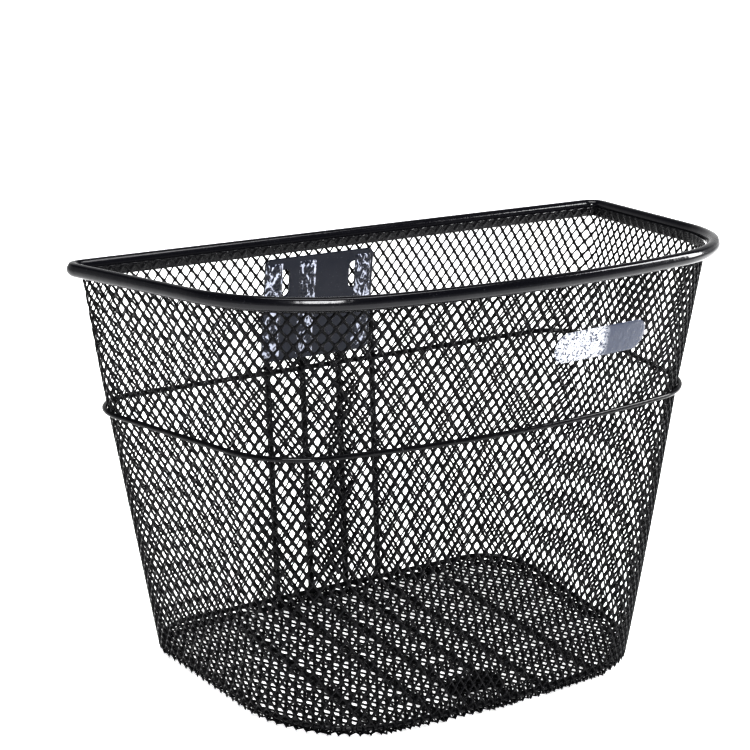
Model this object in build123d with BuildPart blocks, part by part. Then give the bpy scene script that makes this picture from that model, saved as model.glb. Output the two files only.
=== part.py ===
from build123d import *
import math
import os

# Handlebar basket, gloss-black expanded metal. Millimetres, +Z up.
# The flat mounting back faces +Y, the round front faces -Y, and X runs across the basket.
# The origin is on the ground under the middle of the basket's bounding box.

# Wire, tube and sheet sizes
rim_tube_radius = 4.0
rim_tube_wall = 0.8
ring_wire_radius = 1.6
edge_wire_radius = 1.6
support_wire_radius = 2.0
mesh_thickness = 1.2
hem_thickness = 0.9
gap = 0.1

# Heights
floor_wire_z = support_wire_radius
hem_flange_z = 2 * support_wire_radius + gap
floor_mesh_z = hem_flange_z + hem_thickness + gap
wall_foot_z = hem_flange_z
ring_z = 168.6
rim_z = 256.1
ring_slope = -0.078
rim_slope = -0.12
slope_centre_y = -3.65

# Outline of the basket at each level, measured to the centre of the tube or wire there
rim_half_back = 195.5
rim_half_front = 168.5
rim_back_y = 95.05
rim_front_y = -72.95
rim_front_bulge = 26.0
rim_back_corner = 8.0
rim_front_corner = 90.0

ring_half_back = 187.0
ring_half_front = 153.0
ring_back_y = 96.55
ring_front_y = -61.95
ring_front_bulge = 20.0
ring_back_corner = 30.0
ring_front_corner = 52.0

foot_half_back = 143.0
foot_half_front = 132.0
foot_back_y = 95.05
foot_front_y = -77.95
foot_front_bulge = 11.5
foot_back_corner = 35.0
foot_front_corner = 71.0

# Mounting plate
plate_width = 78.0
plate_height = 65.0
plate_thickness = 2.0
plate_top_z = 236.5
plate_corner = 4.0
slot_spacing = 50.0
slot_width = 7.0
slot_length = 17.0
slot_z = 221.0
plate_x = -27.0
wire_lean = -21.0
rib_offsets = (-34.5, 0.0, 34.5)
rib_width = 7.0
rib_margin = 3.0
rib_height = 0.8

# Support wires
wire_offsets = (-39.0, -13.4, 13.4, 39.0)
floor_wire_offset = 80.0
bend_radius = 4.5
wire_top_z = 196.0
floor_wire_shift = 3.0
wire_front_inset = 6.0

# Badge and stay plate
badge_length = 73.0
badge_height = 18.0
badge_thickness = 0.8
badge_x = 52.0
badge_z = 222.0
stay_width = 40.0
stay_depth = 18.0
stay_thickness = 0.9
stay_y = -56.45

# Hems, seam and welds
hem_depth = 8.0
floor_hem_width = 10.0
seam_width = 14.0
seam_thickness = 0.8
bead_radius = 0.7
bead_length = 1.4

os.makedirs("parts", exist_ok=True)


def level_plane(height, slope):
    """Plane of a level that climbs towards the front."""
    length = math.hypot(1.0, slope)
    return Plane(
        origin=(0, slope_centre_y, height),
        x_dir=(1, 0, 0),
        z_dir=(0, -slope / length, 1 / length),
    )


def outline(plane, half_back, half_front, back_y, front_y, bulge, back_corner, front_corner, inset):
    """D-shaped face with a straight back, leaning sides and a bowed front."""
    shift = slope_centre_y if plane.origin.Y != 0 else 0.0
    back = back_y - shift
    front = front_y - shift
    with BuildSketch(plane) as face:
        with BuildLine():
            Polyline(
                (-half_front, front), (-half_back, back), (half_back, back), (half_front, front)
            )
            ThreePointArc((half_front, front), (0, front - bulge), (-half_front, front))
        make_face()
        back_points = face.vertices().group_by(Axis.Y)[-1]
        if plane.origin.Y != 0:
            back_points = face.vertices().sort_by(Axis.Y)[-2:]
        fillet(back_points, radius=back_corner)
        front_points = [v for v in face.vertices() if abs(abs(v.X) - half_front) < 0.01]
        fillet(front_points, radius=front_corner)
        if inset != 0:
            offset(amount=-inset, kind=Kind.ARC)
    return face.sketch


def rim_outline(inset, drop=0.0):
    return outline(
        level_plane(rim_z - drop, rim_slope), rim_half_back, rim_half_front, rim_back_y,
        rim_front_y, rim_front_bulge, rim_back_corner, rim_front_corner, inset,
    )


def ring_outline(inset):
    return outline(
        level_plane(ring_z, ring_slope), ring_half_back, ring_half_front, ring_back_y,
        ring_front_y, ring_front_bulge, ring_back_corner, ring_front_corner, inset,
    )


def foot_outline(inset, height):
    return outline(
        Plane.XY.offset(height), foot_half_back, foot_half_front, foot_back_y,
        foot_front_y, foot_front_bulge, foot_back_corner, foot_front_corner, inset,
    )


wall_at_rim = rim_tube_radius + gap
wall_at_ring = ring_wire_radius + gap

# Wall of diamond mesh, closed sheet of the same outer shape, open at the top
with BuildPart() as wall_mesh:
    add(foot_outline(0, wall_foot_z))
    add(ring_outline(wall_at_ring))
    loft(ruled=True)
    add(ring_outline(wall_at_ring))
    add(rim_outline(wall_at_rim))
    loft(ruled=True)
    add(foot_outline(mesh_thickness, wall_foot_z))
    add(ring_outline(wall_at_ring + mesh_thickness))
    loft(ruled=True, mode=Mode.SUBTRACT)
    add(ring_outline(wall_at_ring + mesh_thickness))
    add(rim_outline(wall_at_rim + mesh_thickness))
    loft(ruled=True, mode=Mode.SUBTRACT)
    with BuildSketch(Plane(origin=(plate_x, 0, slot_z), x_dir=(-1, 0, 0), z_dir=(0, 1, 0))):
        with Locations((-slot_spacing / 2, 0), (slot_spacing / 2, 0)):
            SlotOverall(slot_length, slot_width, rotation=90)
    extrude(amount=rim_back_y, mode=Mode.SUBTRACT)
wall_mesh.part.label = "wall_mesh"
export_step(wall_mesh.part, "parts/wall_mesh.step")

# Folded double edge of the mesh, inside the wall just under the rim
hem_inset = mesh_thickness + gap
with BuildPart() as rim_hem:
    add(ring_outline(wall_at_ring + hem_inset))
    add(rim_outline(wall_at_rim + hem_inset))
    loft(ruled=True)
    add(ring_outline(wall_at_ring + hem_inset + hem_thickness))
    add(rim_outline(wall_at_rim + hem_inset + hem_thickness))
    loft(ruled=True, mode=Mode.SUBTRACT)
    split(bisect_by=level_plane(rim_z - hem_depth, rim_slope), keep=Keep.TOP)
rim_hem.part.label = "rim_hem"
export_step(rim_hem.part, "parts/rim_hem.step")


def loop_section(face):
    """Plane across the start of a closed outline."""
    path = face.faces()[0].outer_wire()
    return path, Plane(origin=path @ 0, z_dir=path % 0)


# Rolled tube round the top edge
rim_path, rim_start = loop_section(rim_outline(0))
with BuildPart() as rim_tube:
    with BuildSketch(rim_start):
        Circle(rim_tube_radius)
        Circle(rim_tube_radius - rim_tube_wall, mode=Mode.SUBTRACT)
    sweep(path=rim_path)
rim_tube.part.label = "rim_tube"
export_step(rim_tube.part, "parts/rim_tube.step")

# Wire round the outside of the wall
ring_path, ring_start = loop_section(ring_outline(0))
with BuildPart() as mid_ring:
    with BuildSketch(ring_start):
        Circle(ring_wire_radius)
    sweep(path=ring_path)
mid_ring.part.label = "mid_ring"
export_step(mid_ring.part, "parts/mid_ring.step")

# Wire inside the foot of the wall, on the floor
edge_inset = mesh_thickness + edge_wire_radius + 6 * gap
edge_z = floor_mesh_z + mesh_thickness + edge_wire_radius + gap
edge_path, edge_start = loop_section(foot_outline(edge_inset, edge_z))
with BuildPart() as floor_edge_wire:
    with BuildSketch(edge_start):
        Circle(edge_wire_radius)
    sweep(path=edge_path)
floor_edge_wire.part.label = "floor_edge_wire"
export_step(floor_edge_wire.part, "parts/floor_edge_wire.step")

# Wall mesh turned in under the floor
with BuildPart() as floor_hem:
    add(foot_outline(mesh_thickness + gap, hem_flange_z))
    extrude(amount=hem_thickness)
    add(foot_outline(mesh_thickness + floor_hem_width, hem_flange_z))
    extrude(amount=hem_thickness, mode=Mode.SUBTRACT)
floor_hem.part.label = "floor_hem"
export_step(floor_hem.part, "parts/floor_hem.step")

# Floor of diamond mesh
with BuildPart() as floor_mesh:
    add(foot_outline(mesh_thickness + 3 * gap, floor_mesh_z))
    extrude(amount=mesh_thickness)
floor_mesh.part.label = "floor_mesh"
export_step(floor_mesh.part, "parts/floor_mesh.step")

# Four bent wires that carry the basket from the plate and under the floor
wire_y = ring_back_y + ring_wire_radius + gap + support_wire_radius
for index, wire_offset in enumerate(wire_offsets, start=1):
    across = wire_offset + floor_wire_shift
    reach = foot_front_y - foot_front_bulge * (1 - (across / foot_half_front) ** 2)
    with BuildPart() as support_wire:
        with BuildLine() as wire_path:
            Polyline(
                (across + wire_lean, wire_y, wire_top_z),
                (across, wire_y, floor_wire_z),
                (across, reach + wire_front_inset, floor_wire_z),
            )
            fillet(wire_path.vertices().sort_by(Axis.Z)[0:2].sort_by(Axis.Y)[-1], radius=bend_radius)
        with BuildSketch(Plane(origin=wire_path.line @ 0, z_dir=wire_path.line % 0)):
            Circle(support_wire_radius)
        sweep(path=wire_path.line)
    support_wire.part.label = f"support_wire_{index}"
    export_step(support_wire.part, f"parts/support_wire_{index}.step")

# Two outer wires under the floor only
for side, wire_offset in (("left", -floor_wire_offset), ("right", floor_wire_offset)):
    across = wire_offset + floor_wire_shift
    reach = foot_front_y - 0.35 * foot_front_bulge + wire_front_inset
    with BuildPart() as floor_wire:
        with BuildSketch(Plane(origin=(across, reach, floor_wire_z), z_dir=(0, 1, 0))):
            Circle(support_wire_radius)
        extrude(amount=foot_back_y - 2 * wire_front_inset - reach)
    floor_wire.part.label = f"floor_wire_{side}"
    export_step(floor_wire.part, f"parts/floor_wire_{side}.step")

# Pressed mounting plate against the inside of the back wall
rim_level_y = slope_centre_y + (rim_back_y - slope_centre_y) * math.cos(math.atan(rim_slope))
plate_y = rim_level_y - wall_at_rim - mesh_thickness - plate_thickness - 2 * gap
plate_z = plate_top_z - plate_height / 2
plate_plane = Plane(origin=(plate_x, plate_y, plate_z), x_dir=(-1, 0, 0), z_dir=(0, 1, 0))
with BuildPart() as bracket_plate:
    with BuildSketch(plate_plane):
        RectangleRounded(plate_width, plate_height, plate_corner)
        with Locations((-slot_spacing / 2, slot_z - plate_z), (slot_spacing / 2, slot_z - plate_z)):
            SlotOverall(slot_length, slot_width, rotation=90, mode=Mode.SUBTRACT)
    extrude(amount=plate_thickness)
    for rib_x in rib_offsets:
        with BuildSketch(plate_plane):
            with Locations((rib_x, 0)):
                RectangleRounded(rib_width, plate_height - 2 * rib_margin, rib_width / 2.5)
        extrude(amount=-rib_height)
bracket_plate.part.label = "bracket_plate"
export_step(bracket_plate.part, "parts/bracket_plate.step")

# Small stay plate across the two middle wires, near the front of the floor
with BuildPart() as stay_plate:
    with BuildSketch(Plane.XY.offset(floor_wire_z + support_wire_radius + gap)):
        with Locations((floor_wire_shift, stay_y)):
            RectangleRounded(stay_width, stay_depth, 3)
    extrude(amount=stay_thickness - 2 * gap)
stay_plate.part.label = "stay_plate"
export_step(stay_plate.part, "parts/stay_plate.step")

# Overlap of the two ends of the wall mesh, at the middle of the back, below the plate
seam_low = foot_back_y - mesh_thickness - gap
seam_mid = slope_centre_y + (
    ring_back_y - wall_at_ring - mesh_thickness - gap - slope_centre_y
) * math.cos(math.atan(ring_slope))
ring_back_z = ring_z + ring_slope * (ring_back_y - slope_centre_y)
with BuildPart() as wall_seam:
    with BuildSketch(Plane.YZ.offset(-seam_width / 2)):
        with BuildLine():
            Polyline(
                (seam_low, edge_z + edge_wire_radius + 2),
                (seam_mid - gap / 2, ring_back_z),
                (seam_mid - gap / 2 - seam_thickness, ring_back_z),
                (seam_low - seam_thickness, edge_z + edge_wire_radius + 2),
                close=True,
            )
        make_face()
    extrude(amount=seam_width)
wall_seam.part.label = "wall_seam"
export_step(wall_seam.part, "parts/wall_seam.step")

# Weld beads that fix each support wire to the wire round the wall
bead_side = support_wire_radius + bead_radius + gap
bead_z = ring_back_z + ring_wire_radius + bead_radius + gap
with BuildPart() as wire_welds:
    for wire_offset in wire_offsets:
        along = (bead_z - floor_wire_z) / (wire_top_z - floor_wire_z)
        middle = wire_offset + floor_wire_shift + wire_lean * along
        for side in (-1, 1):
            with BuildSketch(Plane.YZ.offset(middle + side * bead_side - bead_length / 2)):
                with Locations((wire_y - support_wire_radius, bead_z)):
                    Circle(bead_radius)
            extrude(amount=bead_length)
wire_welds.part.label = "wire_welds"
export_step(wire_welds.part, "parts/wire_welds.step")

# Blank badge on the front of the wall
badge_out = gap + badge_thickness
with BuildPart() as name_badge:
    add(ring_outline(wall_at_ring - badge_out))
    add(rim_outline(wall_at_rim - badge_out))
    loft(ruled=True)
    add(ring_outline(wall_at_ring - gap))
    add(rim_outline(wall_at_rim - gap))
    loft(ruled=True, mode=Mode.SUBTRACT)
    with BuildSketch(Plane(origin=(badge_x, foot_front_y, badge_z), x_dir=(1, 0, 0), z_dir=(0, -1, 0))):
        SlotOverall(badge_length, badge_height)
    extrude(amount=rim_front_bulge + rim_tube_radius * 2, mode=Mode.INTERSECT)
name_badge.part.label = "name_badge"
export_step(name_badge.part, "parts/name_badge.step")
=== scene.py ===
import math

import bmesh
import bpy
import numpy as np
from mathutils import Matrix, Vector


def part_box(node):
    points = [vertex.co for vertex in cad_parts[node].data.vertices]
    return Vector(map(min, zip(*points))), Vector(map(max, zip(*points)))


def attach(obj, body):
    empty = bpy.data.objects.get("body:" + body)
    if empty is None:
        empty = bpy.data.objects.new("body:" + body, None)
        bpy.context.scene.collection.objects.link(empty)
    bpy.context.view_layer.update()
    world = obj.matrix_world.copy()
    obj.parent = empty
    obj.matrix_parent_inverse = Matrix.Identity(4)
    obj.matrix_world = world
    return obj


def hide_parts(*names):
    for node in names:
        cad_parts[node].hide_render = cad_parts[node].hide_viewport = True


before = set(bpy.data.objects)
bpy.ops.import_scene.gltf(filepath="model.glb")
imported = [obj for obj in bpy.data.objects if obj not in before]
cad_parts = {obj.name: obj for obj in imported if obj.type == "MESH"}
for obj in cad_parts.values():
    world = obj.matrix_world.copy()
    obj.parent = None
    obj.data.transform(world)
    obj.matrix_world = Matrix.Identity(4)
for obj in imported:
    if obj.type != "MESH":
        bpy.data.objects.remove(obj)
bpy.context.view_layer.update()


MM = 0.001
PAINT, MESH_PAINT, BADGE_PAINT = "black_paint", "mesh_paint", "badge_paint"

# Outline of the basket at three levels, in mm: half width at the back and at the front, back line,
# front line, bulge of the front, back and front corner radius, height, slope towards the back.
SLOPE_CENTRE = -3.65
FOOT = (143.0, 132.0, 95.05, -77.95, 11.5, 35.0, 71.0, 4.1, 0.0)
RING = (187.0, 153.0, 96.55, -61.95, 20.0, 30.0, 52.0, 168.6, -0.078)
RIM = (195.5, 168.5, 95.05, -72.95, 26.0, 8.0, 90.0, 256.1, -0.12)
RIM_RADIUS, RING_RADIUS, WIRE_RADIUS, EDGE_RADIUS = 4.0, 1.6, 2.0, 1.6

# How far the mesh lies inside the outline at the ring and at the rim
INSET_AT_RING, INSET_AT_RIM = 1.7, 4.1

# Expanded metal: cells round the wall and rows up it, strand section, lean of the strands
CELLS_ROUND = 134
CELL_ROWS = 52
STRAND_WIDTH = 1.6
STRAND_THICKNESS = 1.4
STRAND_TILT = 0.6
FLOOR_TILT = 0.35
FLOOR_CELL = (6.4, 9.6)
FLOOR_HOLE_SHARE = 0.88
FLOOR_INSET = 3.0

# Folded edge of the wall, under the rim: depth of the band, its two faces, height of its relief
HEM_DROP = 6.0
HEM_STEPS = 12
HEM_INNER, HEM_OUTER, HEM_RELIEF = -1.15, -0.65, 0.7

# Edge band of the floor
FLOOR_HEM_INSET, FLOOR_HEM_WIDTH = 1.6, 9.5
FLOOR_HEM_RINGS = 9
OUTLINE_SAMPLES = 1200

# Support wires: how far their tops lean towards -X, radius of the bend at the foot
WIRE_LEAN = -21.0
WIRE_BEND = 4.5

# Mounting plate: slots and the three crinkled ribs
SLOT_HALF_GAP, SLOT_WIDTH, SLOT_LENGTH, SLOT_Z = 25.0, 7.0, 17.0, 221.0
PLATE_CORNER = 4.0
RIB_WIDTH = 12.0
RIB_HEIGHT = 0.8
RIB_OFFSETS = (-33.0, -9.0, 31.5)
RIB_GRID = (33, 150)
RIB_CRINKLE_X, RIB_CRINKLE_Z = 3.9, 4.85

# Badge: share of its outline and height above the wall, from its middle to its turned edge
BADGE_CROWN = (
    (0.0, 1.75), (0.35, 1.75), (0.7, 1.72), (0.93, 1.66), (0.99, 1.5), (1.0, 1.2), (0.98, 0.8)
)


def sweep_arc(centre, radius, start, end, count):
    """Points on an arc, both ends included."""
    angles = np.linspace(start, end, count)
    return centre + radius * np.c_[np.cos(angles), np.sin(angles)]


def d_outline(level, inset=0.0, samples=OUTLINE_SAMPLES):
    """Points spaced evenly round a D outline, from the middle of the back towards +X."""
    back_half, front_half, back, front, bulge, back_r, front_r, _, _ = level
    big = (front_half**2 + bulge**2) / (2 * bulge)
    bow_centre = np.array([0.0, front - bulge + big])
    corner, end = np.array([back_half, back]), np.array([front_half, front])
    side = (end - corner) / np.linalg.norm(end - corner)
    inward = np.array([side[1], -side[0]])
    if inward[0] > 0:
        inward = -inward
    reach = back_r / math.tan(math.acos(-side[0]) / 2)
    back_centre = np.array([back_half - reach, back - back_r])
    out = -inward
    back_arc = sweep_arc(back_centre, back_r, math.pi / 2, math.atan2(out[1], out[0]), 24)
    # the front corner touches the side line and the bow from inside
    start = corner + inward * front_r
    gone = start - bow_centre
    along = gone @ side
    run = -along + math.sqrt(along**2 - gone @ gone + (big - front_r) ** 2)
    front_centre = start + side * run
    to_bow = front_centre - bow_centre
    bow_angle = math.atan2(to_bow[1], to_bow[0])
    front_arc = sweep_arc(front_centre, front_r, math.atan2(out[1], out[0]), bow_angle, 40)
    bow = sweep_arc(bow_centre, big, bow_angle, -math.pi / 2, 50)
    half_line = np.vstack([[[0.0, back]], back_arc, front_arc, bow])
    whole = np.vstack([half_line, (half_line * [-1, 1])[::-1][1:]])
    keep = np.r_[True, np.linalg.norm(np.diff(whole, axis=0), axis=1) > 1e-6]
    whole = whole[keep]
    if inset:
        step = np.roll(whole[:-1], -1, axis=0) - np.roll(whole[:-1], 1, axis=0)
        step /= np.linalg.norm(step, axis=1)[:, None]
        inner = whole[:-1] + np.c_[step[:, 1], -step[:, 0]] * inset
        whole = np.vstack([inner, inner[:1]])
    lengths = np.r_[0, np.cumsum(np.linalg.norm(np.diff(whole, axis=0), axis=1))]
    at = np.linspace(0, lengths[-1], samples + 1)[:-1]
    return np.c_[np.interp(at, lengths, whole[:, 0]), np.interp(at, lengths, whole[:, 1])]


def d_loop(level, inset=0.0, samples=OUTLINE_SAMPLES):
    """A D outline in space, on its sloping plane."""
    flat = d_outline(level, inset, samples)
    height = level[7] + level[8] * (flat[:, 1] - SLOPE_CENTRE)
    return np.c_[flat, height]


def mixed(a, b, t):
    """Values a share t of the way from a to b."""
    return tuple(x * (1 - t) + y * t for x, y in zip(a, b))


def wall_levels(count):
    """Outlines from the foot to the rim, evenly spaced in height."""
    split = (RING[7] - FOOT[7]) / (RIM[7] - FOOT[7])
    out = []
    for t in np.linspace(0, 1, count):
        if t <= split:
            level, inset = mixed(FOOT, RING, t / split), INSET_AT_RING * t / split
        else:
            s = (t - split) / (1 - split)
            level = mixed(RING, RIM, s)
            inset = INSET_AT_RING + (INSET_AT_RIM - INSET_AT_RING) * s
        out.append(d_loop(level, inset + STRAND_THICKNESS / 2))
    return np.array(out)


class Surface:
    """Wall of the basket: u runs once round, v from the foot (0) to the rim (1)."""

    def __init__(self, grid):
        self.grid = grid
        across = np.roll(grid, -1, axis=1) - np.roll(grid, 1, axis=1)
        up = np.gradient(grid, axis=0)
        normal = np.cross(up, across)
        self.normal = normal / np.linalg.norm(normal, axis=2)[:, :, None]

    def _look(self, table, u, v):
        """Table read between its entries."""
        rows, cols = table.shape[:2]
        a = (u % 1.0) * cols
        b = np.clip(v, 0, 1) * (rows - 1)
        a0 = np.floor(a).astype(int)
        b0 = np.minimum(np.floor(b).astype(int), rows - 2)
        fa = (a - a0)[:, None]
        fb = (b - b0)[:, None]
        a1 = (a0 + 1) % cols
        a0 = a0 % cols
        low = table[b0, a0] * (1 - fa) + table[b0, a1] * fa
        high = table[b0 + 1, a0] * (1 - fa) + table[b0 + 1, a1] * fa
        return low * (1 - fb) + high * fb

    def place(self, u, v, out):
        """Points at (u, v), moved by out mm along the outward normal."""
        n = self._look(self.normal, u, v)
        return self._look(self.grid, u, v) + n * np.asarray(out)[:, None]


def make_object(name, verts, faces, material, smooth=True):
    """Mesh object from points in mm."""
    mesh = bpy.data.meshes.new(name)
    mesh.from_pydata((np.asarray(verts) * MM).tolist(), [], [list(map(int, f)) for f in faces])
    mesh.update()
    ob = bpy.data.objects.new(name, mesh)
    bpy.context.scene.collection.objects.link(ob)
    ob.data.materials.append(material)
    if smooth:
        mesh.polygons.foreach_set("use_smooth", [True] * len(mesh.polygons))
    return ob


# Offsets of the points of one diamond, in half cells: corners and middles of its sides
RIM_POINTS = np.array([(2, 0), (1, 1), (0, 2), (-1, 1), (-2, 0), (-1, -1), (0, -2), (1, -1)])


def diamond_lattice(cells, to_space, hole, thickness, tilt):
    """Expanded metal: every cell is a ring of faces round a rounded diamond hole.

    cells holds cell centres in quarter-cell steps, to_space maps (x, y, out) in those steps to space,
    and hole gives the hole's share of the cell for each centre.
    """
    cells = np.asarray(cells)
    edge = (cells[:, None, :] + RIM_POINTS[None]).reshape(-1, 2)
    unique, where = np.unique(edge, axis=0, return_inverse=True)
    where = where.reshape(len(cells), 8)
    share = hole(cells)[:, None]
    roundness = np.array([0.95, 1.09] * 4)[None]
    centre = cells[:, None, :].astype(float)
    inner = centre + RIM_POINTS[None] * (share * roundness)[:, :, None]
    lean = RIM_POINTS[None, :, 1] / 2.0 * tilt * np.ones((len(cells), 1))
    half = thickness / 2
    edge_x, edge_y = unique.astype(float).T
    top = to_space(edge_x, edge_y, np.full(len(unique), half))
    bottom = to_space(edge_x, edge_y, np.full(len(unique), -half))
    rim = to_space(inner[:, :, 0].ravel(), inner[:, :, 1].ravel(), lean.ravel())
    verts = np.vstack([top, bottom, rim])
    n = len(unique)
    rim_at = 2 * n + np.arange(len(cells) * 8).reshape(len(cells), 8)
    nxt = np.roll(np.arange(8), -1)
    upper = np.stack([where, where[:, nxt], rim_at[:, nxt], rim_at], axis=2).reshape(-1, 4)
    lower = np.stack([where[:, nxt] + n, where + n, rim_at, rim_at[:, nxt]], axis=2).reshape(-1, 4)
    return verts, np.vstack([upper, lower])


def tube(path, radius, sides=16, closed=True, lip=0.0, inward=None):
    """Round section swept along a path, with steady roll."""
    path = np.asarray(path, float)
    count = len(path)
    if closed:
        step = np.roll(path, -1, axis=0) - np.roll(path, 1, axis=0)
    else:
        step = np.gradient(path, axis=0)
    step /= np.linalg.norm(step, axis=1)[:, None]
    up = np.array([0.0, 0.0, 1.0]) if abs(step[:, 2]).max() < 0.9 else np.array([1.0, 0.0, 0.0])
    side = np.cross(step, up)
    side /= np.linalg.norm(side, axis=1)[:, None]
    top = np.cross(side, step)
    angles = np.arange(sides) / sides * 2 * math.pi
    radii = np.full(sides, radius)
    if lip:
        radii = radii + lip * np.exp(-(((angles - inward) / 0.16) ** 2))
    rings = (
        path[:, None, :]
        + side[:, None, :] * (np.cos(angles) * radii)[None, :, None]
        + top[:, None, :] * (np.sin(angles) * radii)[None, :, None]
    )
    verts = rings.reshape(-1, 3)
    faces = []
    last = count if closed else count - 1
    for i in range(last):
        j = (i + 1) % count
        for k in range(sides):
            m = (k + 1) % sides
            faces.append((i * sides + k, i * sides + m, j * sides + m, j * sides + k))
    if not closed:
        for end, order in ((0, 1), (count - 1, -1)):
            ring = [end * sides + k for k in range(sides)]
            verts = np.vstack([verts, path[end] + step[end] * (-order) * radius * 0.35])
            tip = len(verts) - 1
            for k in range(sides):
                pair = (ring[k], ring[(k + 1) % sides])
                faces.append((pair[1], pair[0], tip) if order == 1 else (pair[0], pair[1], tip))
    return verts, faces


def joined(parts):
    """Points and faces of several pieces as one."""
    verts, faces, base = [], [], 0
    for v, f in parts:
        verts.append(np.asarray(v, float))
        faces.extend([tuple(int(k) + base for k in face) for face in f])
        base += len(v)
    return np.vstack(verts), faces


# ---------------------------------------------------------------- materials
def paint(name, colour, rough, bump, speck, coat=0.0, scale=220.0, shine=0.2):
    """Gloss stoved paint: slight orange peel, uneven gloss, dust specks and thin spots."""
    mat = bpy.data.materials.new(name)
    mat.use_nodes = True
    tree = mat.node_tree
    node = tree.nodes
    link = tree.links.new
    shader = node["Principled BSDF"]
    where = node.new("ShaderNodeTexCoord")
    peel = node.new("ShaderNodeTexNoise")
    peel.inputs["Scale"].default_value = scale
    peel.inputs["Detail"].default_value = 3.0
    link(where.outputs["Object"], peel.inputs["Vector"])
    cloud = node.new("ShaderNodeTexNoise")
    cloud.inputs["Scale"].default_value = 38.0
    cloud.inputs["Detail"].default_value = 5.0
    link(where.outputs["Object"], cloud.inputs["Vector"])
    gloss = node.new("ShaderNodeMapRange")
    gloss.inputs["To Min"].default_value = rough * 0.65
    gloss.inputs["To Max"].default_value = rough * 1.5
    gloss.inputs["From Min"].default_value = 0.3
    gloss.inputs["From Max"].default_value = 0.7
    link(cloud.outputs["Fac"], gloss.inputs["Value"])
    link(gloss.outputs["Result"], shader.inputs["Roughness"])
    dust = node.new("ShaderNodeTexNoise")
    dust.inputs["Scale"].default_value = 900.0
    dust.inputs["Detail"].default_value = 2.0
    link(where.outputs["Object"], dust.inputs["Vector"])
    dust_mask = node.new("ShaderNodeMapRange")
    dust_mask.inputs["From Min"].default_value = 0.66
    dust_mask.inputs["From Max"].default_value = 0.74
    dust_mask.inputs["To Max"].default_value = speck
    link(dust.outputs["Fac"], dust_mask.inputs["Value"])
    tone = node.new("ShaderNodeMix")
    tone.data_type = "RGBA"
    tone.inputs["A"].default_value = (*colour, 1)
    tone.inputs["B"].default_value = (0.30, 0.31, 0.33, 1)
    link(dust_mask.outputs["Result"], tone.inputs["Factor"])
    link(tone.outputs["Result"], shader.inputs["Base Color"])
    shader.inputs["Coat Weight"].default_value = coat
    shader.inputs["Coat Roughness"].default_value = 0.08
    shader.inputs["Specular IOR Level"].default_value = shine
    relief = node.new("ShaderNodeBump")
    relief.inputs["Strength"].default_value = bump
    relief.inputs["Distance"].default_value = 0.0006
    link(peel.outputs["Fac"], relief.inputs["Height"])
    link(relief.outputs["Normal"], shader.inputs["Normal"])
    return mat


mesh_black = paint("mesh_gloss", (0.004, 0.004, 0.005), 0.18, 0.55, 0.22, shine=0.13)
tube_black = paint("tube_gloss", (0.004, 0.004, 0.006), 0.13, 0.18, 0.06, shine=0.36)
wire_black = paint("wire_gloss", (0.004, 0.004, 0.005), 0.16, 0.35, 0.12, shine=0.2)
hem_black = paint("hem_gloss", (0.004, 0.004, 0.005), 0.16, 0.6, 0.25, shine=0.35)
plate_black = paint("plate_gloss", (0.010, 0.012, 0.020), 0.12, 0.5, 0.10, coat=0.1, scale=95.0, shine=0.3)


def gloss_with_painted_highlight(name, colour, highlight_colour, low, high, scale, stretch):
    """Gloss paint with pale painted highlight streaks: the base colour is lightened in a noise pattern to
    stand in for light caught by wrinkled paint.
    """
    mat = paint(name, colour, 0.12, 0.8, 0.1, coat=0.1, scale=scale, shine=0.4)
    tree = mat.node_tree
    node, link = tree.nodes, tree.links.new
    shader = node["Principled BSDF"]
    where = node.new("ShaderNodeTexCoord")
    size = node.new("ShaderNodeMapping")
    size.inputs["Scale"].default_value = stretch
    link(where.outputs["Object"], size.inputs["Vector"])
    # Noise pattern of the painted highlight: where it is high, the base colour turns pale like a reflection
    highlight_noise = node.new("ShaderNodeTexNoise")
    highlight_noise.inputs["Scale"].default_value = scale * 2.2
    highlight_noise.inputs["Detail"].default_value = 4.0
    highlight_noise.inputs["Distortion"].default_value = 1.2
    link(size.outputs["Vector"], highlight_noise.inputs["Vector"])
    highlight_mask = node.new("ShaderNodeMapRange")
    highlight_mask.inputs["From Min"].default_value = low
    highlight_mask.inputs["From Max"].default_value = high
    link(highlight_noise.outputs["Fac"], highlight_mask.inputs["Value"])
    highlight_blend = node.new("ShaderNodeMix")
    highlight_blend.data_type = "RGBA"
    before = shader.inputs["Base Color"].links[0].from_socket
    link(before, highlight_blend.inputs["A"])
    highlight_blend.inputs["B"].default_value = (*highlight_colour, 1)
    link(highlight_mask.outputs["Result"], highlight_blend.inputs["Factor"])
    link(highlight_blend.outputs["Result"], shader.inputs["Base Color"])
    return mat, highlight_mask, highlight_blend


# Ribs: their pale streaks are painted highlight, reflections on the wrinkled paint put into the colour
rib_black, _, _ = gloss_with_painted_highlight(
    "rib_gloss", (0.012, 0.014, 0.022), (0.42, 0.44, 0.52), 0.52, 0.60, 150.0, (1, 1, 0.6)
)
# Badge: pale painted highlight speckle, kept further down to the -X part as a painted reflection
badge_black, badge_highlight_mask, badge_highlight_blend = gloss_with_painted_highlight(
    "badge_gloss", (0.022, 0.030, 0.055), (0.50, 0.51, 0.54), 0.42, 0.52, 260.0, (1, 1, 1)
)


def settle(ob, slot, *nodes):
    """Put a finished piece in the place of its CAD nodes."""
    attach(ob, "root")
    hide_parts(*nodes)
    return ob


# ---------------------------------------------------------------- wall
wall = Surface(wall_levels(CELL_ROWS * 2 + 1))
foot_round = float(np.linalg.norm(np.diff(d_outline(FOOT), axis=0), axis=1).sum())
rim_round = float(np.linalg.norm(np.diff(d_outline(RIM, INSET_AT_RIM), axis=0), axis=1).sum())
wall_rise = RIM[7] - FOOT[7]
cell_height = wall_rise / CELL_ROWS * 2


def hole_share(width, height):
    """Share of a diamond cell left open by strands of the stated width."""
    return 1 - STRAND_WIDTH * np.hypot(width, height) / (width * height)


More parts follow.
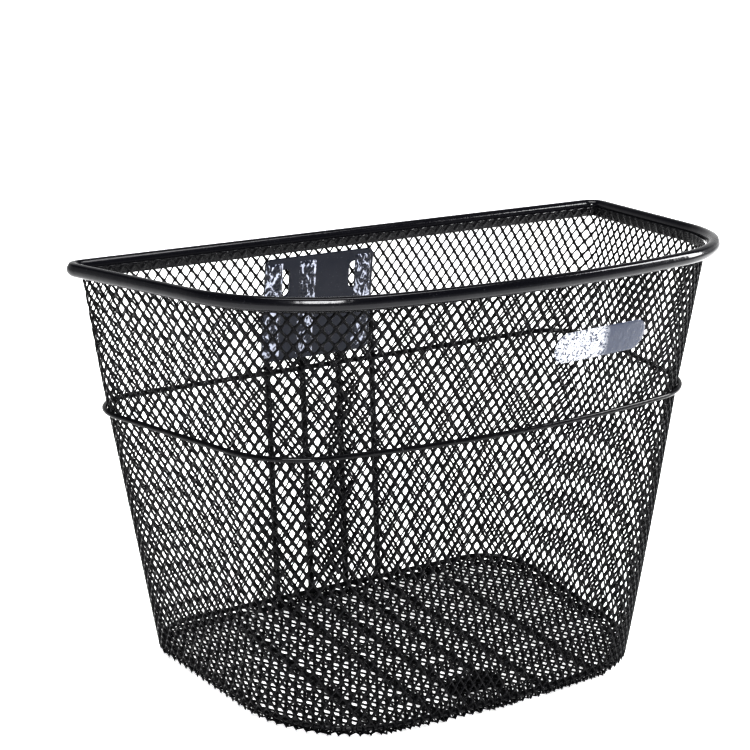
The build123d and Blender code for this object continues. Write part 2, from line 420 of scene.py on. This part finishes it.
def wall_lattice(first_row, last_row, out, shift=(0.0, 0.0), keep=None):
    """Expanded metal on the wall, between two rows of cells."""
    cells = []
    for row in range(first_row, last_row + 1):
        for col in range(CELLS_ROUND):
            cells.append((col * 4 + 2 * (row % 2), row * 2))
    cells = np.array(cells)
    if keep is not None:
        cells = cells[keep(cells)]

    def to_space(x, y, offset):
        v = np.clip((y / 2 + shift[1]) / CELL_ROWS, 0, 1)
        return wall.place((x / 4 + shift[0]) / CELLS_ROUND, v, offset + out)

    def hole(c):
        v = c[:, 1] / 2 / CELL_ROWS
        width = (foot_round * (1 - v) + rim_round * v) / CELLS_ROUND
        return hole_share(width, cell_height)

    return diamond_lattice(cells, to_space, hole, STRAND_THICKNESS, STRAND_TILT)


wall_parts = wall_lattice(1, CELL_ROWS - 1, 0.0)
wall_look = make_object("wall_mesh_look", *wall_parts, mesh_black)
settle(wall_look, MESH_PAINT, "wall_mesh")

# The mesh's folded edge: a band inside the wall with the strands' pattern pressed into it
hem_round = CELLS_ROUND * 10
hem_u = np.arange(hem_round) / hem_round
grid_u, grid_v = np.meshgrid(hem_u, np.linspace(1 - HEM_DROP / wall_rise, 1, HEM_STEPS))
rows_up = grid_v * CELL_ROWS
columns = grid_u * CELLS_ROUND
zigzag = np.minimum(
    np.abs((columns + rows_up / 2) % 1.0 - 0.5), np.abs((columns - rows_up / 2) % 1.0 - 0.5)
)
relief = HEM_RELIEF * np.clip(1 - zigzag * 5.5, 0, 1) ** 0.6
steps = np.arange(HEM_STEPS)
edge_fade = np.minimum(1, np.minimum(steps, steps[::-1])[:, None] / 1.5)
front_face = wall.place(grid_u.ravel(), grid_v.ravel(), (HEM_INNER - relief * edge_fade).ravel())
back_face = wall.place(grid_u.ravel(), grid_v.ravel(), np.full(grid_u.size, HEM_OUTER))
hem_verts = np.vstack([front_face, back_face])
hem_faces = []
half_count = grid_u.size
for row in range(HEM_STEPS - 1):
    for col in range(hem_round):
        a0 = row * hem_round + col
        b0 = row * hem_round + (col + 1) % hem_round
        face = (a0, b0, b0 + hem_round, a0 + hem_round)
        hem_faces.append(face)
        hem_faces.append(tuple(face[k] + half_count for k in (1, 0, 3, 2)))
for col in range(hem_round):
    nxt = (col + 1) % hem_round
    top = (HEM_STEPS - 1) * hem_round
    hem_faces.append((nxt, col, col + half_count, nxt + half_count))
    hem_faces.append((top + col, top + nxt, top + nxt + half_count, top + col + half_count))
hem_look = make_object("rim_hem_look", hem_verts, hem_faces, hem_black)
settle(hem_look, MESH_PAINT, "rim_hem")


def near_seam(c):
    """Cells within a little more than one column of the back's middle."""
    col = (c[:, 0] / 4 + CELLS_ROUND / 2) % CELLS_ROUND - CELLS_ROUND / 2
    return np.abs(col) < 1.2


seam_look = make_object(
    "wall_seam_look",
    *wall_lattice(3, int(CELL_ROWS * 0.6), -1.25, shift=(0.22, 0.4), keep=near_seam),
    mesh_black,
)
settle(seam_look, MESH_PAINT, "wall_seam")

# ---------------------------------------------------------------- tubes and wires
rim_look = make_object(
    "rim_tube_look",
    *tube(d_loop(RIM, samples=420), RIM_RADIUS, sides=28, lip=0.45, inward=2.2),
    tube_black,
)
settle(rim_look, PAINT, "rim_tube")
ring_look = make_object("mid_ring_look", *tube(d_loop(RING, samples=420), RING_RADIUS, sides=14), wire_black)
settle(ring_look, PAINT, "mid_ring")

edge_low, edge_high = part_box("floor_edge_wire")
edge_z = (edge_low.z + edge_high.z) / 2 / MM
edge_level = FOOT[:7] + (edge_z, 0.0)
edge_look = make_object(
    "floor_edge_look", *tube(d_loop(edge_level, FLOOR_INSET, samples=360), EDGE_RADIUS, sides=12), wire_black
)
settle(edge_look, PAINT, "floor_edge_wire")

_, wire_top_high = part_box("support_wire_1")
wire_y = wire_top_high.y / MM - WIRE_RADIUS
wire_top = wire_top_high.z / MM
for index in range(1, 5):
    low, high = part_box(f"support_wire_{index}")
    foot_x = high.x / MM - WIRE_RADIUS
    front_y = low.y / MM
    path = [
        (foot_x + WIRE_LEAN * t, wire_y, WIRE_RADIUS + (wire_top - WIRE_RADIUS) * t)
        for t in np.linspace(1, WIRE_BEND / wire_top, 30)
    ]
    for angle in np.linspace(0, math.pi / 2, 8)[1:]:
        back = wire_y - WIRE_BEND + WIRE_BEND * math.cos(angle)
        path.append((foot_x, back, WIRE_RADIUS + WIRE_BEND - WIRE_BEND * math.sin(angle)))
    path += [(foot_x, y, WIRE_RADIUS) for y in np.linspace(wire_y - WIRE_BEND, front_y + 1, 30)[1:]]
    wire = tube(path, WIRE_RADIUS, sides=14, closed=False)
    ob = make_object(f"support_wire_{index}_look", *wire, wire_black)
    settle(ob, PAINT, f"support_wire_{index}")
for side in ("left", "right"):
    low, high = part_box(f"floor_wire_{side}")
    middle = (low.x + high.x) / 2 / MM
    path = [(middle, y, WIRE_RADIUS) for y in np.linspace(low.y / MM + 1, high.y / MM - 1, 30)]
    wire = tube(path, WIRE_RADIUS, sides=14, closed=False)
    ob = make_object(f"floor_wire_{side}_look", *wire, wire_black)
    settle(ob, PAINT, f"floor_wire_{side}")

# ---------------------------------------------------------------- floor
floor_low, floor_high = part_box("floor_mesh")
floor_z = (floor_low.z + floor_high.z) / 2 / MM
floor_edge = d_outline(FOOT, FLOOR_INSET, 400)


def inside(points, loop):
    """Which points lie inside a closed loop."""
    ahead = np.roll(loop, -1, axis=0)
    result = np.zeros(len(points), bool)
    for (x0, y0), (x1, y1) in zip(loop, ahead):
        if y0 == y1:
            continue
        crosses = (y0 > points[:, 1]) != (y1 > points[:, 1])
        reach = (x1 - x0) * (points[:, 1] - y0) / (y1 - y0) + x0
        result ^= crosses & (points[:, 0] < reach)
    return result


floor_cells = np.array([
    (col * 4 + 2 * (row % 2), row * 2) for row in range(-24, 25) for col in range(-26, 27)
])
centres = floor_cells / 4.0 * FLOOR_CELL
floor_cells = floor_cells[inside(centres, floor_edge)]


def on_floor(x, y, out):
    return np.c_[x / 4 * FLOOR_CELL[0], y / 4 * FLOOR_CELL[1], floor_z + out]


def floor_hole(c):
    return np.full(len(c), hole_share(*FLOOR_CELL) * FLOOR_HOLE_SHARE)


floor_lattice = diamond_lattice(floor_cells, on_floor, floor_hole, STRAND_THICKNESS, FLOOR_TILT)
floor_look = make_object("floor_mesh_look", *floor_lattice, mesh_black)
settle(floor_look, MESH_PAINT, "floor_mesh")

hem_low, hem_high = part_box("floor_hem")
hem_z = (hem_low.z + hem_high.z) / 2 / MM
hem_inner = np.array([
    d_outline(FOOT, FLOOR_HEM_INSET + w) for w in np.linspace(0, FLOOR_HEM_WIDTH, FLOOR_HEM_RINGS)
])


def on_hem(x, y, out):
    """Place on the floor's edge band: x runs round it, y inwards over three half rows."""
    a = ((x / 4) / CELLS_ROUND % 1.0) * OUTLINE_SAMPLES
    b = np.clip(y / 2 / 3, 0, 1) * (FLOOR_HEM_RINGS - 1)
    a0 = np.floor(a).astype(int) % OUTLINE_SAMPLES
    b0 = np.minimum(np.floor(b).astype(int), FLOOR_HEM_RINGS - 2)
    fa, fb = (a - np.floor(a))[:, None], (b - b0)[:, None]
    a1 = (a0 + 1) % OUTLINE_SAMPLES
    flat = (hem_inner[b0, a0] * (1 - fa) + hem_inner[b0, a1] * fa) * (1 - fb) + (
        hem_inner[b0 + 1, a0] * (1 - fa) + hem_inner[b0 + 1, a1] * fa
    ) * fb
    return np.c_[flat, hem_z + out]


hem_cells = np.array([(col * 4 + 2 * (row % 2), row * 2) for row in (1, 2) for col in range(CELLS_ROUND)])
floor_hem_look = make_object(
    "floor_hem_look",
    *diamond_lattice(hem_cells, on_hem, lambda c: np.full(len(c), 0.42), 0.8, 0.1),
    mesh_black,
)
settle(floor_hem_look, MESH_PAINT, "floor_hem")

# ---------------------------------------------------------------- mounting plate
plate_low, plate_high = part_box("bracket_plate")
plate_centre = (plate_low + plate_high) / 2
plate_size = plate_high - plate_low
face_y = plate_low.y / MM + RIB_HEIGHT


def stadium(length, width, count=16):
    """Outline with two straight sides and round ends, its length upright."""
    r = width / 2
    straight = length / 2 - r
    a = np.linspace(0, math.pi, count)
    return np.vstack([
        np.c_[r * np.cos(a), straight + r * np.sin(a)],
        np.c_[-r * np.cos(a), -straight - r * np.sin(a)],
    ])


def prism(name, flat, low_y, high_y):
    """Upright outline given a depth along Y."""
    n = len(flat)
    verts = [(x, low_y, z) for x, z in flat] + [(x, high_y, z) for x, z in flat]
    faces = [tuple(range(n))[::-1], tuple(range(n, 2 * n))]
    faces += [(i, (i + 1) % n, (i + 1) % n + n, i + n) for i in range(n)]
    ob = make_object(name, np.array(verts), faces, plate_black, smooth=False)
    work = bmesh.new()
    work.from_mesh(ob.data)
    bmesh.ops.recalc_face_normals(work, faces=work.faces)
    work.to_mesh(ob.data)
    work.free()
    return ob


half_w, half_h = plate_size.x / MM / 2, plate_size.z / MM / 2
quarter = np.linspace(0, math.pi / 2, 8)
shape = []
for sx, sz, start in ((1, 1, 0), (-1, 1, 1), (-1, -1, 2), (1, -1, 3)):
    for q in quarter + start * math.pi / 2:
        across = sx * (half_w - PLATE_CORNER) + PLATE_CORNER * math.cos(q)
        shape.append((across, sz * (half_h - PLATE_CORNER) + PLATE_CORNER * math.sin(q)))
shape = np.array(shape) + [plate_centre.x / MM, plate_centre.z / MM]
plate = prism("bracket_plate_look", shape, face_y, plate_high.y / MM)


def cut(ob, cutter):
    """Take the cutter out of the object and drop it."""
    mod = ob.modifiers.new("cut", "BOOLEAN")
    mod.object = cutter
    mod.operation = "DIFFERENCE"
    mod.solver = "EXACT"
    bpy.context.view_layer.objects.active = ob
    bpy.ops.object.modifier_apply(modifier=mod.name)
    bpy.data.objects.remove(cutter, do_unlink=True)


for side in (-1, 1):
    flat = stadium(SLOT_LENGTH, SLOT_WIDTH) + [plate_centre.x / MM + side * SLOT_HALF_GAP, SLOT_Z]
    cut(plate, prism("slot_cutter", flat, plate_low.y / MM - 5, plate_high.y / MM + 5))
soft = plate.modifiers.new("edge", "BEVEL")
soft.width = 0.0005
soft.segments = 3
soft.limit_method = "ANGLE"
bpy.context.view_layer.objects.active = plate
bpy.ops.object.modifier_apply(modifier=soft.name)


def wrinkled_rib(middle_x):
    """Raised rib with crinkled paint on the plate's inner face."""
    wide, tall = RIB_GRID
    gx, gz = np.meshgrid(np.linspace(-1, 1, wide), np.linspace(-1, 1, tall))
    x = middle_x + gx * RIB_WIDTH / 2
    z = plate_centre.z / MM + gz * (half_h - 3)
    edge = np.clip((1 - np.abs(gx)) * 3.0, 0, 1) * np.clip((1 - np.abs(gz)) * 25.0, 0, 1)
    across = (x - middle_x) / RIB_CRINKLE_X
    along = z / RIB_CRINKLE_Z
    zig = np.abs((across + along) % 1.0 - 0.5) + np.abs((across - along) % 1.0 - 0.5)
    wave = 0.10 * np.sin(z * 2.7 + 1.3 * np.sin(x * 1.9)) + 0.08 * np.sin(z * 5.1 + x * 3.3)
    height = edge * (0.5 + 0.25 * zig + wave)
    verts = np.c_[x.ravel(), (face_y - height).ravel(), z.ravel()]
    faces = []
    for i in range(tall - 1):
        for j in range(wide - 1):
            k = i * wide + j
            faces.append((k, k + 1, k + 1 + wide, k + wide))
    count = len(verts)
    rim = list(range(wide)) + [i * wide + wide - 1 for i in range(1, tall)]
    rim += [(tall - 1) * wide + j for j in range(wide - 2, -1, -1)]
    rim += [i * wide for i in range(tall - 2, 0, -1)]
    base = verts[rim] + [0, 0.3, 0]
    verts = np.vstack([verts, base])
    for k in range(len(rim)):
        m = (k + 1) % len(rim)
        faces.append((rim[m], rim[k], count + k, count + m))
    faces.append(tuple(count + k for k in range(len(rim))))
    return verts, faces


rib_shapes = joined([wrinkled_rib(plate_centre.x / MM + dx) for dx in RIB_OFFSETS])
ribs = make_object("plate_ribs", *rib_shapes, rib_black)
bpy.ops.object.select_all(action="DESELECT")
ribs.select_set(True)
plate.select_set(True)
bpy.context.view_layer.objects.active = plate
bpy.ops.object.join()
settle(plate, PAINT, "bracket_plate")

# Small uneven welds where each support wire crosses the ring
weld_low, weld_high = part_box("wire_welds")
weld_z = (weld_low.z + weld_high.z) / 2 / MM
weld_y = (weld_low.y + weld_high.y) / 2 / MM
weld_parts = []
rng = np.random.default_rng(7)
for index in range(1, 5):
    low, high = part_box(f"support_wire_{index}")
    along = (weld_z - WIRE_RADIUS) / (wire_top - WIRE_RADIUS)
    middle = high.x / MM - WIRE_RADIUS + WIRE_LEAN * along
    for side in (-1, 1):
        x = middle + side * 2.3 + np.linspace(-1.1, 1.1, 8)
        path = np.c_[x, np.full(8, weld_y + 0.4), np.full(8, weld_z)]
        weld_parts.append(tube(path + rng.normal(0, 0.08, path.shape), 0.95, sides=10, closed=False))
weld_look = make_object("wire_welds_look", *joined(weld_parts), wire_black)
settle(weld_look, PAINT, "wire_welds")

# ---------------------------------------------------------------- stay plate
stay_low, stay_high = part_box("stay_plate")
bpy.ops.mesh.primitive_cube_add(size=1, location=(stay_low + stay_high) / 2)
stay = bpy.context.object
stay.name = "stay_plate_look"
stay.scale = stay_high - stay_low
bpy.ops.object.transform_apply(location=True, scale=True)
stay.data.materials.append(wire_black)
round_stay = stay.modifiers.new("edge", "BEVEL")
round_stay.width = 0.0003
round_stay.segments = 2
bpy.ops.object.modifier_apply(modifier=round_stay.name)
settle(stay, PAINT, "stay_plate")

# ---------------------------------------------------------------- badge
badge_low, badge_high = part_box("name_badge")
badge_mid = (badge_low + badge_high) / 2
badge_length = (badge_high.x - badge_low.x) / MM
badge_width = (badge_high.z - badge_low.z) / MM
target = np.array([badge_mid.x, badge_mid.z]) / MM
front_grid = np.meshgrid(np.linspace(0.25, 0.75, 801), np.linspace(0.6, 1, 81))
guess_u, guess_v = (g.ravel() for g in front_grid)
at = wall.place(guess_u, guess_v, np.zeros(len(guess_u)))
best = np.argmin(np.hypot(at[:, 0] - target[0], at[:, 2] - target[1]))
badge_u, badge_v = guess_u[best], guess_v[best]
round_here = foot_round * (1 - badge_v) + rim_round * badge_v
outline = stadium(badge_length, badge_width, 14)[:, ::-1]
rings = []
for share, out in BADGE_CROWN:
    x = outline[:, 0] * share
    z = outline[:, 1] * share
    rings.append(wall.place(badge_u - x / round_here, badge_v + z / wall_rise, np.full(len(x), out)))
badge_verts = np.vstack(rings)
n = len(outline)
badge_faces = []
for r in range(len(rings) - 1):
    for k in range(n):
        m = (k + 1) % n
        badge_faces.append((r * n + k, r * n + m, (r + 1) * n + m, (r + 1) * n + k))
badge_faces.append(tuple((len(rings) - 1) * n + k for k in range(n)))

# Painted reflection: the pale painted highlight speckle covers only the part of the badge towards -X,
# standing in for a reflection of the light there
badge_nodes, badge_link = badge_black.node_tree.nodes, badge_black.node_tree.links.new
badge_coord = badge_nodes.new("ShaderNodeTexCoord")
badge_where = badge_nodes.new("ShaderNodeSeparateXYZ")
badge_link(badge_coord.outputs["Object"], badge_where.inputs["Vector"])
badge_reflection_side = badge_nodes.new("ShaderNodeMapRange")
badge_reflection_side.inputs["From Min"].default_value = badge_mid.x + 0.006
badge_reflection_side.inputs["From Max"].default_value = badge_mid.x - 0.001
badge_link(badge_where.outputs["X"], badge_reflection_side.inputs["Value"])
badge_reflection_mask = badge_nodes.new("ShaderNodeMath")
badge_reflection_mask.operation = "MULTIPLY"
badge_link(badge_reflection_side.outputs["Result"], badge_reflection_mask.inputs[0])
badge_link(badge_highlight_mask.outputs["Result"], badge_reflection_mask.inputs[1])
badge_link(badge_reflection_mask.outputs["Value"], badge_highlight_blend.inputs["Factor"])
badge = make_object("name_badge_look", badge_verts, badge_faces, badge_black)
settle(badge, BADGE_PAINT, "name_badge")

# ---------------------------------------------------------------- stage, lights, camera
bpy.ops.mesh.primitive_plane_add(size=14, location=(0, 0, -0.0005))
ground = bpy.context.object
ground.name = "ground"
pale = bpy.data.materials.new("ground_pale")
pale.use_nodes = True
pale_shader = pale.node_tree.nodes["Principled BSDF"]
pale_shader.inputs["Base Color"].default_value = (0.93, 0.93, 0.93, 1)
pale_shader.inputs["Roughness"].default_value = 0.9
pale_shader.inputs["Emission Color"].default_value = (1, 1, 1, 1)
pale_shader.inputs["Emission Strength"].default_value = 0.8
ground.data.materials.append(pale)

# World: white near the horizon, dark above, so that the gloss paint shows light and dark
world = bpy.data.worlds.new("studio")
bpy.context.scene.world = world
world.use_nodes = True
sky = world.node_tree.nodes
sky_link = world.node_tree.links.new
sky_where = sky.new("ShaderNodeTexCoord")
sky_split = sky.new("ShaderNodeSeparateXYZ")
sky_link(sky_where.outputs["Generated"], sky_split.inputs["Vector"])
sky_ramp = sky.new("ShaderNodeValToRGB")
sky_ramp.color_ramp.elements[0].position = 0.10
sky_ramp.color_ramp.elements[0].color = (1, 1, 1, 1)
sky_ramp.color_ramp.elements[1].position = 0.45
sky_ramp.color_ramp.elements[1].color = (0.10, 0.10, 0.11, 1)
sky_link(sky_split.outputs["Z"], sky_ramp.inputs["Fac"])
sky_link(sky_ramp.outputs["Color"], sky["Background"].inputs["Color"])
sky["Background"].inputs["Strength"].default_value = 0.95


def softbox(name, place, aim, size, power):
    """Rectangular soft light that faces its aim."""
    light = bpy.data.lights.new(name, "AREA")
    light.shape = "RECTANGLE"
    light.size, light.size_y = size
    light.energy = power
    ob = bpy.data.objects.new(name, light)
    bpy.context.scene.collection.objects.link(ob)
    ob.location = place
    ob.rotation_euler = (Vector(aim) - Vector(place)).to_track_quat("-Z", "Y").to_euler()


softbox("key", (-0.9, -1.3, 1.6), (0, 0, 0.12), (1.0, 0.7), 75)
softbox("top", (0.2, 0.3, 1.7), (0, 0, 0.1), (1.2, 0.9), 26)
softbox("rim", (1.3, -0.4, 0.9), (0, 0, 0.15), (0.4, 1.0), 28)

CAMERA_PLACE = Vector((-0.764132, -1.004881, 0.609843))
CAMERA_RIGHT = Vector((0.823044, -0.564610, 0.061750))
CAMERA_UP = Vector((0.127620, 0.289774, 0.948548))
FOCAL, HORIZON_SHIFT = 107.938, -0.03775
cam = bpy.data.cameras.new("camera")
cam_ob = bpy.data.objects.new("camera", cam)
bpy.context.scene.collection.objects.link(cam_ob)
turn = Matrix((CAMERA_RIGHT, CAMERA_UP, CAMERA_RIGHT.cross(CAMERA_UP))).transposed()
cam_ob.matrix_world = Matrix.Translation(CAMERA_PLACE) @ turn.to_4x4()
cam.sensor_width = 36.0
cam.lens = FOCAL
cam.shift_y = HORIZON_SHIFT
bpy.context.scene.camera = cam_ob
bpy.context.scene.view_settings.view_transform = "Standard"
bpy.context.scene.view_settings.gamma = 0.75
